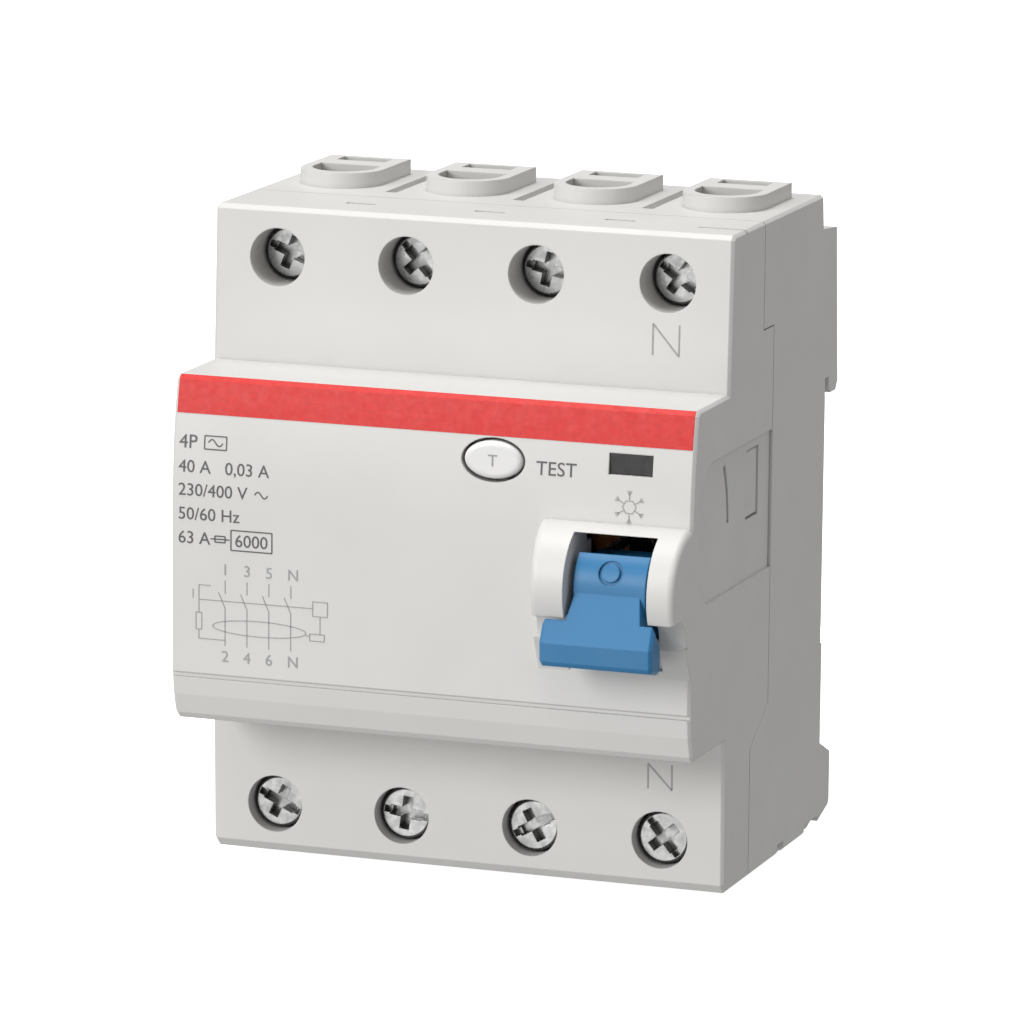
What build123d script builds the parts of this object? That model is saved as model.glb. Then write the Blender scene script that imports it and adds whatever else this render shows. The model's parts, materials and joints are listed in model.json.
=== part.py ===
"""Four-pole residual current circuit breaker for a 35 mm mounting rail.

Frame: +X to the right and +Z up as seen from the front, the front faces -Y.
The origin is the centre of the rail seat: y = 0 on the rail's front face,
z = 0 on the rail's centre line, x = 0 half way across the width.  Millimetres.
"""
from build123d import *
import os
from math import cos, radians, sin

# ---- driving dimensions -------------------------------------------------
WIDTH = 70.0            # four modules
HEIGHT = 85.0
PITCH = 17.6            # pole to pole
NOSE_Y = -55.0          # foremost line of the nose, 55 mm in front of the rail
NOSE_Z = 22.4           # half height of the nose
SHOULDER_Y = -40.8      # shoulder where it meets the nose
SHOULDER_END_Y = -40.0  # shoulder at its outer end
WALL = 1.8
REAR_WALL = 2.0
UPPER_REAR_Y = -1.9     # rear wall above the hook
REAR_STEP = 0.5         # how far the rear wall stands behind the rail seat
SEAT_Z = 17.8           # half height of the rail seat
LAND_Z = 15.4           # half height of the part of the seat that touches the rail
LAND_RELIEF = 0.1       # relief beside it, under the hook and the clip noses
SEAM_GAP = 0.15         # fine line between cover and base
EDGE = 0.4              # chamfer on the outer edges

HALF_W = WIDTH / 2
HALF_H = HEIGHT / 2
POLES = [(i - 1.5) * PITCH for i in range(4)]
DIVIDERS = [-PITCH, 0.0, PITCH]

# seam between cover and base, seen from the side
SEAM_TOP_Y = -27.0
SEAM_STEP_Z = 28.6
SEAM_MID_Y = -22.7
SEAM_KNEE_Z = -21.0
SEAM_LOW_Y = -30.0
SEAM_LOW_Z = -25.4

# terminals
TERM_Z = 36.0
SCREW_HOLE_R = 3.75
COLLAR_W = 11.2
COLLAR_H = 2.0
COLLAR_BACK_Y = -6.6
COLLAR_FRONT_Y = -22.5
ENTRY_W = 8.4
ENTRY_FRONT_Y = -20.6
ENTRY_BACK_Y = -14.0
COMB_W = 6.75
COMB_FRONT_Y = -10.5
COMB_BACK_Y = -7.5
CAGE_W = 10.4
CAGE_LEN = 8.9
CAGE_FRONT_Y = -23.7
CAGE_REAR_Y = -12.2
CAGE_FRONT_T = 2.4
CAGE_T = 1.6
PLATE_Y = -20.4         # middle of the terminal plates
PLATE_T = 1.2
PAD_Z = 20.8            # height of the fixed contact pads
SCREW_R = 2.45
THREAD_PLAY = 0.06
HEAD_R = 3.45
HEAD_T = 3.0
TOP_HEAD_Y = -35.6
LOW_HEAD_Y = -38.8
LEDGE_T = 0.9
CROSS_W = 1.3           # arms of the cross recess
CROSS_HALF = 2.2
SLOT_W = 0.9
LINE_TURNS = [22, 48, 12, 35]       # how far round each screw stands, in degrees
LOAD_TURNS = [25, 8, -28, 50]

# operating lever and hood
AXIS_Y = -54.5
HOOD_R = 7.9
HOOD_INNER_R = 6.6
HOOD_X0 = 14.9
HOOD_DRAFT = 1.3        # how far the left flank leans in towards the front
HOOD_EDGE = 0.9
RAMP_Y = -57.2          # foremost line of the guard ramps below the hood
RAMP_TOP_Z = -7.0
RAMP_LOW_Z = -11.4
WINDOW_X0 = 20.5
WINDOW_X1 = 31.5
WINDOW_TOP = 7.0
WINDOW_LOW = -10.4
DRUM_R = 6.0
DRUM_TOP_Z = 4.7        # the drum is cut away above this, behind the lever's face
DRUM_HUB_Z = 3.4
DRUM_PLAY = 0.8
PIN_R = 1.0
PIN_PLAY = 0.05
PIN_X0 = 16.4
PIN_X1 = 32.9
CRANK_R = 3.0
LEVER_X = (WINDOW_X0 + WINDOW_X1) / 2
DRUM_HALF = (WINDOW_X1 - WINDOW_X0) / 2 - DRUM_PLAY
BAR_W = 14.8
BAR_X = 25.2            # middle of the finger bar
BAR_BACK = (-62.1, -3.4)    # y and z of the bar's upper rear edge
BAR_FRONT = (-63.5, -6.2)   # and of its foremost edge
NECK_ROOT = (-60.3, 0.2)    # where the same sloping face meets the drum

# contact carrier
CARRIER_Y = -31.0
CARRIER_Z = 8.0
CARRIER_R = 2.6
JOURNAL_R = 1.5
CARRIER_CRANK = 7.0
CRANK_SLOT_R = 1.6
ARM_LEN = 16.5
ARM_OPEN = 6.0          # degrees from upright, leaning to the rear
CARRIER_SWING = 24.0    # degrees from open to closed
LINK_X = 18.4
LINK_R = 0.8
LINK_UPPER = 5.4        # how far the upper leg reaches into the drum

# summation transformer
TOROID_X = -2.0
TOROID_Z = -8.0
TOROID_Y0 = -23.0
TOROID_Y1 = -14.0
TOROID_RO = 14.0
TOROID_RI = 8.6
WIRE_R = 1.5
WIRE_HOLE = 3.3

# front fittings
BUTTON_X = 8.4
BUTTON_Z = 14.6
BUTTON_RX = 3.9
BUTTON_RZ = 2.45
BUTTON_PLAY = 0.35
LENS_X0 = 23.7
LENS_X1 = 29.5
LENS_Z0 = 13.9
LENS_Z1 = 16.6
FLAG_Y = -42.5          # pivot of the indicator flag, level with its window
FLAG_Z = (LENS_Z0 + LENS_Z1) / 2
FLAG_R = 7.6            # radius of the flag's curved face
FLAG_T = 0.7
FLAG_LOW = -37.0        # degrees below level where the curved face starts at rest
FLAG_HIGH = 12.5
FLAG_PIN_R = 0.8
GROOVE_Z = -16.3
FACE_ARC_Z = 5.0        # the face is upright here and leans back above it
FACE_TOP_Y = -53.3
FACE_LOW_Y = -53.8
FACE_LOW_Z = -16.0

# rail clips
CLIP_W = 19.0
CLIP_PLAY = 0.3
CLIP_Y0 = 0.9
CLIP_Y1 = 3.3


def block(x, y, z, mode=Mode.ADD):
    """A box from its three ranges, inside a part block."""
    centre = (sum(x) / 2, sum(y) / 2, sum(z) / 2)
    with Locations(centre):
        Box(x[1] - x[0], y[1] - y[0], z[1] - z[0], mode=mode)


def rod(x, y, z, radius, direction, length, mode=Mode.ADD):
    """A round bar that starts at a point and runs along a direction."""
    plane = Plane(origin=(x, y, z), z_dir=direction)
    with BuildSketch(plane) as section:
        Circle(radius)
    extrude(section.sketch, amount=length, mode=mode)


def save(name, part):
    part.label = name
    export_step(part, f"parts/{name}.step")


def face_y(z):
    """The nose face's y at a height, from the arc above FACE_ARC_Z."""
    rise = NOSE_Z - FACE_ARC_Z
    back = FACE_TOP_Y - NOSE_Y
    radius = (rise**2 + back**2) / (2 * back)
    drop = max(z - FACE_ARC_Z, 0.0)
    return NOSE_Y + radius - (radius**2 - drop**2) ** 0.5


def side_outline_cover(inset, seam):
    """The cover seen from the side: inset shrinks it, seam is its rear line's shift."""
    top = HALF_H - inset
    nose = NOSE_Z - inset
    shoulder = SHOULDER_Y + inset
    end = SHOULDER_END_Y + inset
    mid_z = (FACE_ARC_Z + NOSE_Z) / 2
    seam_points = [
        (SEAM_LOW_Y - seam, -top),
        (SEAM_LOW_Y - seam, SEAM_LOW_Z - seam / 2),
        (SEAM_MID_Y - seam, SEAM_KNEE_Z - seam / 2),
        (SEAM_MID_Y - seam, SEAM_STEP_Z - seam),
        (SEAM_TOP_Y - seam, SEAM_STEP_Z - seam),
        (SEAM_TOP_Y - seam, top),
    ]
    with BuildSketch(mode=Mode.PRIVATE) as outline:
        with BuildLine():
            Polyline(
                *seam_points,
                (end + 0.6, top),
                (end, top - 0.6),
                (shoulder, nose),
                (FACE_TOP_Y + inset + 0.6, nose),
                (FACE_TOP_Y + inset, nose - 0.6),
            )
            ThreePointArc(
                (FACE_TOP_Y + inset, nose - 0.6),
                (face_y(mid_z) + inset, mid_z),
                (NOSE_Y + inset, FACE_ARC_Z),
            )
            Line((NOSE_Y + inset, FACE_ARC_Z), (NOSE_Y + inset, FACE_LOW_Z))
            Polyline(
                (NOSE_Y + inset, FACE_LOW_Z),
                (NOSE_Y + 0.4 + inset, FACE_LOW_Z - 3),
                (FACE_LOW_Y + inset, -nose + 0.8),
                (FACE_LOW_Y + 0.8 + inset, -nose),
                (shoulder, -nose),
                (end - 0.4, -top + 1.2),
                (end + 0.8, -top),
                (SEAM_LOW_Y - seam, -top),
            )
        make_face()
    add(outline.sketch)


def d_shape(width, front, back):
    """A D in plan, added to the sketch in hand: straight back, half round front."""
    radius = width / 2
    bend = front + radius
    with BuildSketch(mode=Mode.PRIVATE) as shape:
        with BuildLine():
            Polyline((-radius, bend), (-radius, back), (radius, back), (radius, bend))
            ThreePointArc((radius, bend), (0, front), (-radius, bend))
        make_face()
    add(shape.sketch)


def make_hood():
    """Half-round hood around the lever, its lower end scooped out for a finger."""
    root = NOSE_Y + 1
    tip = AXIS_Y - HOOD_R
    lip = (AXIS_Y - 7.18, -3.3)
    foot = (RAMP_Y, RAMP_TOP_Z)
    with BuildPart(mode=Mode.PRIVATE) as hood:
        with BuildSketch(Plane.YZ.offset(HOOD_X0)):
            with BuildLine():
                ThreePointArc((root, HOOD_R - 0.1), (tip, 0), (root, 0.1 - HOOD_R))
                Line((root, 0.1 - HOOD_R), (root, HOOD_R - 0.1))
            make_face()
        extrude(amount=HALF_W - HOOD_X0)
        with BuildSketch(Plane.XY.offset(-HOOD_R)):
            with BuildLine():
                Polyline((HOOD_X0, root), (HOOD_X0 + HOOD_DRAFT, tip), (HOOD_X0 - 1, tip),
                         (HOOD_X0 - 1, root), (HOOD_X0, root))
            make_face()
        extrude(amount=2 * HOOD_R, mode=Mode.SUBTRACT)
        rims = hood.edges().filter_by(lambda e: e.geom_type in (GeomType.CIRCLE, GeomType.ELLIPSE))
        fillet(rims, HOOD_EDGE)
        with BuildSketch(Plane.YZ.offset(HOOD_X0 - 1)):
            with BuildLine():
                ThreePointArc(lip, (AXIS_Y - 3.2, -4.4), foot)
                Polyline(foot, (RAMP_Y, -9), (-65, -9), (-65, lip[1]), lip)
            make_face()
        extrude(amount=HALF_W - HOOD_X0 + 2, mode=Mode.SUBTRACT)
        # guard ramps beside the finger bar's recess
        for x0, x1 in ((HOOD_X0, WINDOW_X0 - 1.5), (WINDOW_X1 - 0.6, HALF_W)):
            with BuildSketch(Plane.YZ.offset(x0)):
                with BuildLine():
                    Polyline((root, RAMP_TOP_Z), foot, (NOSE_Y, RAMP_LOW_Z), (root, RAMP_LOW_Z),
                             (root, RAMP_TOP_Z))
                make_face()
            extrude(amount=x1 - x0)
    return hood.part


def make_front_cover():
    """Moulded front shell with the nose, the lever hood and the screw wells."""
    with BuildPart() as cover:
        with BuildSketch(Plane.YZ.offset(-HALF_W)):
            side_outline_cover(0, SEAM_GAP)
        extrude(amount=WIDTH)
        side_edges = cover.edges().filter_by(
            lambda e: abs(abs(e.center().X) - HALF_W) < 0.01 and e.center().Y < SEAM_LOW_Y - 1
        )
        chamfer(side_edges, EDGE)
        # lever hood, flush with the right side
        add(make_hood())
        # hollow inside
        with BuildSketch(Plane.YZ.offset(-HALF_W + WALL)):
            side_outline_cover(WALL, -1)
        extrude(amount=WIDTH - 2 * WALL, mode=Mode.SUBTRACT)
        # solid cheeks around the lever pin
        for x0, x1 in ((HOOD_X0 + 0.5, WINDOW_X0), (WINDOW_X1, HALF_W - WALL + 0.1)):
            block((x0, x1), (NOSE_Y + 1, AXIS_Y + 3), (-5, 5))
        # screw wells
        for x in POLES:
            for z, head in ((TERM_Z, TOP_HEAD_Y), (-TERM_Z, LOW_HEAD_Y)):
                ledge = head + HEAD_T + 0.15
                rod(x, SHOULDER_END_Y - 0.05, z, SCREW_HOLE_R + 0.9, (0, 1, 0),
                    ledge + LEDGE_T - SHOULDER_END_Y + 0.05)
                rod(x, SHOULDER_Y - 1, z, SCREW_HOLE_R, (0, 1, 0),
                    ledge - SHOULDER_Y + 1, Mode.SUBTRACT)
                rod(x, ledge - 1, z, SCREW_R + 0.3, (0, 1, 0), 3, Mode.SUBTRACT)
        # lever window, drum clearance and pin sockets
        block((WINDOW_X0, WINDOW_X1), (-64, AXIS_Y), (WINDOW_LOW, WINDOW_TOP), Mode.SUBTRACT)
        rod(WINDOW_X0, AXIS_Y, 0, HOOD_INNER_R, (1, 0, 0),
            WINDOW_X1 - WINDOW_X0, Mode.SUBTRACT)
        rod(PIN_X0, AXIS_Y, 0, PIN_R, (1, 0, 0), PIN_X1 - PIN_X0, Mode.SUBTRACT)
        # stud that carries the indicator flag
        rod(HALF_W - WALL + 0.1, FLAG_Y, FLAG_Z, FLAG_PIN_R, (-1, 0, 0), 2.6)
        # pocket for the link wire beside the drum
        block((LINK_X - 1.1, WINDOW_X0 + 0.1), (NOSE_Y - 0.3, AXIS_Y + 4), (-4.4, 1.4),
              Mode.SUBTRACT)
        # test button and indicator windows
        with BuildSketch(Plane.XZ.offset(-NOSE_Y + 3)):
            with Locations((BUTTON_X, BUTTON_Z)):
                Ellipse(BUTTON_RX + BUTTON_PLAY, BUTTON_RZ + BUTTON_PLAY)
        extrude(amount=-8, mode=Mode.SUBTRACT)
        block((LENS_X0, LENS_X1), (-57, -50), (LENS_Z0, LENS_Z1), Mode.SUBTRACT)
        # fine groove across the nose, above its lower lip
        block((-40, 40), (NOSE_Y - 1, NOSE_Y + 0.3), (GROOVE_Z - 0.3, GROOVE_Z + 0.3),
              Mode.SUBTRACT)
        # moulding slots in the top and bottom faces
        for x in DIVIDERS:
            for z in (HALF_H, -HALF_H):
                block((x - 2, x + 2), (-33.6, -32.8), (z - 1, z + 1), Mode.SUBTRACT)
        block((28.5, 40), (-34.9, -34.3), (HALF_H - 0.8, HALF_H + 1), Mode.SUBTRACT)
        # coupling recess and its window in both sides
        for side in (-1, 1):
            with BuildSketch(Plane.YZ.offset(side * HALF_W)):
                with BuildLine():
                    Polyline((-47.8, -3), (-20, -3), (-20, 15), (-47.8, 15))
                    ThreePointArc((-47.8, 15), (-51.8, 11), (-51.8, 6))
                    Line((-51.8, 6), (-51.8, 1))
                    ThreePointArc((-51.8, 1), (-50.6, -1.8), (-47.8, -3))
                make_face()
            extrude(amount=-side * 0.35, mode=Mode.SUBTRACT)
            block((side * HALF_W - 2, side * HALF_W + 2), (-32.5, -27.5), (4.8, 13.8),
                  Mode.SUBTRACT)
            with BuildSketch(Plane.YZ.offset(side * HALF_W)):
                with BuildLine() as slot:
                    ThreePointArc((-41.7, 13.5), (-40.4, 9.9), (-39.9, 5.9))
                trace(slot.line, line_width=0.8)
            extrude(amount=-side * 1.0, mode=Mode.SUBTRACT)
    save("front_cover", cover.part)


def make_base_housing():
    """Moulded tray behind the seam: rear wall, rail hook, collars and pole walls."""
    with BuildPart() as base:
        with BuildSketch(Plane.YZ.offset(-HALF_W)):
            with BuildLine():
                Polyline(
                    (SEAM_TOP_Y, HALF_H), (SEAM_TOP_Y, SEAM_STEP_Z), (SEAM_MID_Y, SEAM_STEP_Z),
                    (SEAM_MID_Y, SEAM_KNEE_Z), (SEAM_LOW_Y, SEAM_LOW_Z), (SEAM_LOW_Y, -HALF_H),
                    (-2.0, -HALF_H), (4.6, -40.6), (5.0, -40.0), (5.0, -33.4), (REAR_STEP, -31.4),
                    (REAR_STEP, -SEAT_Z), (-LAND_RELIEF, -SEAT_Z), (-LAND_RELIEF, -LAND_Z),
                    (0, -LAND_Z), (0, LAND_Z), (-LAND_RELIEF, LAND_Z), (-LAND_RELIEF, SEAT_Z),
                    (1.5, SEAT_Z), (1.5, 16.4), (2.2, 15.6), (4.6, 15.6), (5.5, 16.8), (5.2, 20.0),
                    (4.0, 37.4), (UPPER_REAR_Y, 37.9), (UPPER_REAR_Y - 0.5, HALF_H),
                    close=True,
                )
            make_face()
        extrude(amount=WIDTH)
        side_edges = base.edges().filter_by(
            lambda e: abs(abs(e.center().X) - HALF_W) < 0.01
            and abs(abs(e.center().Z) - HALF_H) < 0.01
        )
        chamfer(side_edges, EDGE)
        for z in (HALF_H, -HALF_H - COLLAR_H):
            for x in POLES:
                with BuildSketch(Plane.XY.offset(z)):
                    with Locations((x, 0)):
                        d_shape(COLLAR_W, COLLAR_FRONT_Y, COLLAR_BACK_Y)
                extrude(amount=COLLAR_H)
        block((-HALF_W + WALL, HALF_W - WALL), (-60, -REAR_WALL),
              (-HALF_H + WALL, HALF_H - WALL), Mode.SUBTRACT)
        # the rear wall is thicker behind the upper cages, where its outside steps in
        block((-HALF_W + WALL, HALF_W - WALL), (UPPER_REAR_Y - 2.3, -REAR_WALL),
              (36.0, HALF_H - WALL))
        # walls between the poles
        for x in DIVIDERS:
            block((x - 0.6, x + 0.6), (SEAM_TOP_Y + 0.3, -1.5), (26.5, HALF_H - 1.5))
            block((x - 0.6, x + 0.6), (SEAM_LOW_Y + 0.3, -1.5), (-HALF_H + 1.5, -29.5))
        # bearing ears for the contact carrier
        for side in (-1, 1):
            x_in = side * 31.6
            x_out = side * 33.0
            block(sorted((x_in, x_out)), (-35, -10), (3, 13))
            block(sorted((side * 32.5, side * 33.5)), (-21.5, -10), (3, 13))
            rod(side * 31.0, CARRIER_Y, CARRIER_Z, JOURNAL_R + PIN_PLAY, (side, 0, 0),
                2.0, Mode.SUBTRACT)
        # cradle under the transformer
        block((TOROID_X - 4, TOROID_X + 4), (TOROID_Y0, -1.5), (-24.6, -23.4))
        # cable and comb-bar entries through the collars
        for z in (HALF_H - WALL - 1, -HALF_H - COLLAR_H - 1):
            for x in POLES:
                with BuildSketch(Plane.XY.offset(z)):
                    with Locations((x, 0)):
                        d_shape(ENTRY_W, ENTRY_FRONT_Y, ENTRY_BACK_Y)
                    with Locations((x, (COMB_FRONT_Y + COMB_BACK_Y) / 2)):
                        Rectangle(COMB_W, COMB_BACK_Y - COMB_FRONT_Y)
                extrude(amount=COLLAR_H + WALL + 2, mode=Mode.SUBTRACT)
        # separator grooves in the top and bottom faces
        for x in DIVIDERS:
            for z in (HALF_H, -HALF_H):
                block((x - 0.75, x + 0.75), (-22.5, -2), (z - 0.9, z + 0.9), Mode.SUBTRACT)
        # channels for the rail clips behind the foot
        for x in (-PITCH, PITCH):
            block((x - CLIP_W / 2 - CLIP_PLAY, x + CLIP_W / 2 + CLIP_PLAY),
                  (REAR_STEP, CLIP_Y1 + CLIP_PLAY), (-45, -30), Mode.SUBTRACT)
        # moulding notches in the lower side edges
        for side in (-1, 1):
            for y0, y1 in ((-17.5, -15.0), (-6.0, 0.0)):
                block(sorted((side * HALF_W, side * (HALF_W - 0.9))), (y0, y1),
                      (-HALF_H - 0.1, -HALF_H + 1.3), Mode.SUBTRACT)
    save("base_housing", base.part)


def make_neck():
    """Neck of the lever: a wedge from the drum to the bar, under one sloping face."""
    left = WINDOW_X0 + 0.4
    right = WINDOW_X1 - 0.9
    with BuildPart(mode=Mode.PRIVATE) as neck:
        with BuildSketch(Plane.YZ.offset(left)):
            with BuildLine():
                Polyline((AXIS_Y, 0), NECK_ROOT, BAR_FRONT, (-60.0, -8.6),
                         (AXIS_Y - 2.4, -5.6), (AXIS_Y, 0))
            make_face()
        extrude(amount=right - left)
        with BuildSketch(Plane.XZ.offset(-AXIS_Y)):
            with BuildLine():
                Polyline((left + 0.7, 0.5), (right - 0.7, 0.5), (right, -3.4), (right, -9.0),
                         (left, -9.0), (left, -3.4), (left + 0.7, 0.5))
            make_face()
        extrude(amount=10, mode=Mode.INTERSECT)
    return neck.part


def make_lever():
    """Operating lever: drum on a pin, a flared neck and a wide finger bar."""
    drum_left = LEVER_X - DRUM_HALF
    drum_right = LEVER_X + DRUM_HALF
    with BuildPart() as lever:
        rod(drum_left, AXIS_Y, 0, DRUM_R, (1, 0, 0), 2 * DRUM_HALF)
        # the drum's upper rear is cut down to the hub
        with BuildSketch(Plane.YZ.offset(drum_left - 1)):
            with BuildLine():
                Polyline((AXIS_Y - 4.0, DRUM_TOP_Z), (AXIS_Y - 2.6, DRUM_HUB_Z),
                         (AXIS_Y + 7, DRUM_HUB_Z), (AXIS_Y + 7, 8), (AXIS_Y - 7, 8),
                         (AXIS_Y - 7, DRUM_TOP_Z), (AXIS_Y - 4.0, DRUM_TOP_Z))
            make_face()
        extrude(amount=2 * DRUM_HALF + 2, mode=Mode.SUBTRACT)
        # neck from the drum to the bar
        add(make_neck())
        # finger bar, clear of the hood's cheeks all the way up
        with BuildSketch(Plane.YZ.offset(BAR_X - BAR_W / 2)):
            with BuildLine():
                Polyline(BAR_BACK, BAR_FRONT, (-63.4, -8.6), (-63.0, -9.2), (-60.4, -9.8),
                         (-59.6, -9.6), (-59.8, -6.4), BAR_BACK)
            make_face()
        extrude(amount=BAR_W)
        tips = lever.edges().filter_by(
            lambda e: abs(abs(e.center().X - BAR_X) - BAR_W / 2) < 0.01
        )
        chamfer(tips, 0.4)
        rod(drum_left - 1, AXIS_Y, 0, PIN_R + PIN_PLAY, (1, 0, 0), 2 * DRUM_HALF + 2,
            Mode.SUBTRACT)
        # socket for the link wire, in the drum's left face
        rod(drum_left - 1, AXIS_Y + CRANK_R, 0, LINK_R + PIN_PLAY, (1, 0, 0), 4.5,
            Mode.SUBTRACT)
        # slot for the torsion spring's leg, in the drum's right face
        block((drum_right - 1.2, drum_right + 1), (AXIS_Y + 2.2, AXIS_Y + 3.4),
              (-0.6, 0.6), Mode.SUBTRACT)
        # engraved ring on the drum, seen when the lever is down
        ring = Plane(origin=(LEVER_X, AXIS_Y, 0), x_dir=(1, 0, 0),
                     z_dir=(0, -cos(radians(25)), sin(radians(25))))
        with BuildSketch(ring.offset(DRUM_R - 0.35)):
            Circle(1.6)
            Circle(1.15, mode=Mode.SUBTRACT)
        extrude(amount=2, mode=Mode.SUBTRACT)
        # upright bar engraved below it, seen when the lever is up
        mark = Plane(origin=(LEVER_X, AXIS_Y, 0), x_dir=(1, 0, 0),
                     z_dir=(0, -cos(radians(-97)), sin(radians(-97))))
        with BuildSketch(mark.offset(DRUM_R - 0.35)):
            Rectangle(0.5, 3.2)
        extrude(amount=2, mode=Mode.SUBTRACT)
    save("operating_lever", lever.part)

    with BuildPart() as pin:
        rod(PIN_X0, AXIS_Y, 0, PIN_R, (1, 0, 0), PIN_X1 - PIN_X0)
    save("lever_pin", pin.part)


def make_link():
    """Bent wire that joins the drum to the contact carrier's crank."""
    start = (LINK_X, AXIS_Y + CRANK_R, 0)
    end = (LINK_X, CARRIER_Y, CARRIER_Z - CARRIER_CRANK)
    with BuildPart() as link:
        with BuildLine():
            FilletPolyline((start[0] + LINK_UPPER, start[1], start[2]), start, end,
                           (end[0] + 3.4, end[1], end[2]), radius=1.4)
        with BuildSketch(Plane(origin=(start[0] + LINK_UPPER, start[1], start[2]),
                               z_dir=(-1, 0, 0))):
            Circle(LINK_R)
        sweep()
    save("lever_link", link.part)


def make_contact_carrier():
    """Insulating cross shaft that carries the four moving contacts."""
    with BuildPart() as carrier:
        rod(-31.4, CARRIER_Y, CARRIER_Z, CARRIER_R, (1, 0, 0), 62.8)
        rod(-32.8, CARRIER_Y, CARRIER_Z, JOURNAL_R, (1, 0, 0), 65.6)
        # crank with a wide eye for the link wire
        with BuildSketch(Plane.YZ.offset(LINK_X + 1.2)):
            with Locations((CARRIER_Y, CARRIER_Z - CARRIER_CRANK)):
                Circle(CRANK_SLOT_R + 1.2)
            with Locations((CARRIER_Y, CARRIER_Z - CARRIER_CRANK / 2)):
                Rectangle(3.4, CARRIER_CRANK)
            with Locations((CARRIER_Y, CARRIER_Z - CARRIER_CRANK)):
                Circle(CRANK_SLOT_R, mode=Mode.SUBTRACT)
        extrude(amount=1.8)
        # saddle that grips each contact arm
        for x in POLES:
            block((x - 4.2, x + 4.2), (CARRIER_Y - 2.6, CARRIER_Y + 2.6),
                  (CARRIER_Z, CARRIER_Z + 4.4))
            block((x - 3.0, x + 3.0), (CARRIER_Y - 0.8, CARRIER_Y + 0.8),
                  (CARRIER_Z + 1.5, CARRIER_Z + 5), Mode.SUBTRACT)
    save("contact_carrier", carrier.part)


def make_carrier_spring():
    """Torsion spring around the carrier, between the first two poles."""
    start = -PITCH - 1.5
    with BuildPart() as spring:
        with BuildLine() as coil:
            Helix(0.75, 3.0, CARRIER_R + 0.6, center=(start, CARRIER_Y, CARRIER_Z),
                  direction=(1, 0, 0))
        with BuildSketch(Plane(origin=coil.line @ 0, z_dir=coil.line % 0)):
            Circle(0.3)
        sweep(is_frenet=True)
    save("carrier_spring", spring.part)


def make_contacts():
    """Moving arms on the carrier, and the fixed line terminal plates they meet."""
    lean = radians(ARM_OPEN)
    swing = radians(CARRIER_SWING)
    for number, x in enumerate(POLES, start=1):
        foot = (CARRIER_Y, CARRIER_Z + 1.6)
        knee = (CARRIER_Y, CARRIER_Z + 5.2)
        reach = ARM_LEN - 5.2
        tip = (knee[0] + reach * sin(lean), knee[1] + reach * cos(lean))
        with BuildPart() as arm:
            with BuildSketch(Plane.YZ.offset(x - 2.9)):
                with BuildLine() as path:
                    Polyline(foot, knee, tip)
                trace(path.line, line_width=1.2)
            extrude(amount=5.8)
            # contact button near the tip, square to the fixed pad once the arm has swung
            rod(x, tip[0], tip[1] - 1.9, 1.7, (0, cos(swing), sin(swing)), 1.9)
        save(f"moving_contact_{number}", arm.part)

        with BuildPart() as plate:
            block((x - 3.6, x + 3.6), (PLATE_Y - PLATE_T / 2, PLATE_Y + PLATE_T / 2),
                  (PAD_Z - 1.9, TERM_Z + 4.2))
            rod(x, PLATE_Y, PAD_Z, 1.9, (0, -1, 0), PLATE_T / 2 + 0.9)
        save(f"fixed_contact_{number}", plate.part)


def make_conductors():
    """Load conductors: from the moving contacts through the core to the load terminals."""
    holes = [(-WIRE_HOLE, -WIRE_HOLE), (-WIRE_HOLE, WIRE_HOLE),
             (WIRE_HOLE, WIRE_HOLE), (WIRE_HOLE, -WIRE_HOLE)]
    front = -27.0
    for number, (x, hole) in enumerate(zip(POLES, holes), start=1):
        hx = TOROID_X + hole[0]
        hz = TOROID_Z + hole[1]
        rear = -5.6 if hole[1] > 0 else -9.8
        route = [(x, front, 3.5), (x, front, -2.5), (hx, front, hz), (hx, rear, hz),
                 (x, rear, -25.0), (x, PLATE_Y, -27.5), (x, PLATE_Y, -31.0)]
        with BuildPart() as conductor:
            with BuildLine():
                FilletPolyline(*route, radius=2.0)
            with BuildSketch(Plane(origin=route[0], z_dir=(0, 0, -1))):
                Circle(WIRE_R)
            sweep()
            block((x - 3.6, x + 3.6), (PLATE_Y - PLATE_T / 2, PLATE_Y + PLATE_T / 2),
                  (-TERM_Z - 4.2, -29.0))
        save(f"load_conductor_{number}", conductor.part)


def make_transformer():
    """Ring core, and its secondary winding as a sleeve over the upper half."""
    with BuildPart() as core:
        with BuildSketch(Plane.XZ.offset(-TOROID_Y1)):
            with Locations((TOROID_X, TOROID_Z)):
                Circle(TOROID_RO)
                Circle(TOROID_RI, mode=Mode.SUBTRACT)
        extrude(amount=TOROID_Y1 - TOROID_Y0)
    save("transformer_core", core.part)

    wind = 1.0
    with BuildPart() as winding:
        with BuildSketch(Plane.XZ.offset(-TOROID_Y1 - wind)):
            with Locations((TOROID_X, TOROID_Z)):
                Circle(TOROID_RO + wind)
                Circle(TOROID_RI - wind, mode=Mode.SUBTRACT)
                with Locations((0, -TOROID_RO)):
                    Rectangle(60, TOROID_RO, mode=Mode.SUBTRACT)
        extrude(amount=TOROID_Y1 - TOROID_Y0 + 2 * wind)
        with BuildSketch(Plane.XZ.offset(-TOROID_Y1)):
            with Locations((TOROID_X, TOROID_Z)):
                Circle(TOROID_RO)
                Circle(TOROID_RI, mode=Mode.SUBTRACT)
        extrude(amount=TOROID_Y1 - TOROID_Y0, mode=Mode.SUBTRACT)
    save("secondary_winding", winding.part)


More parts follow.
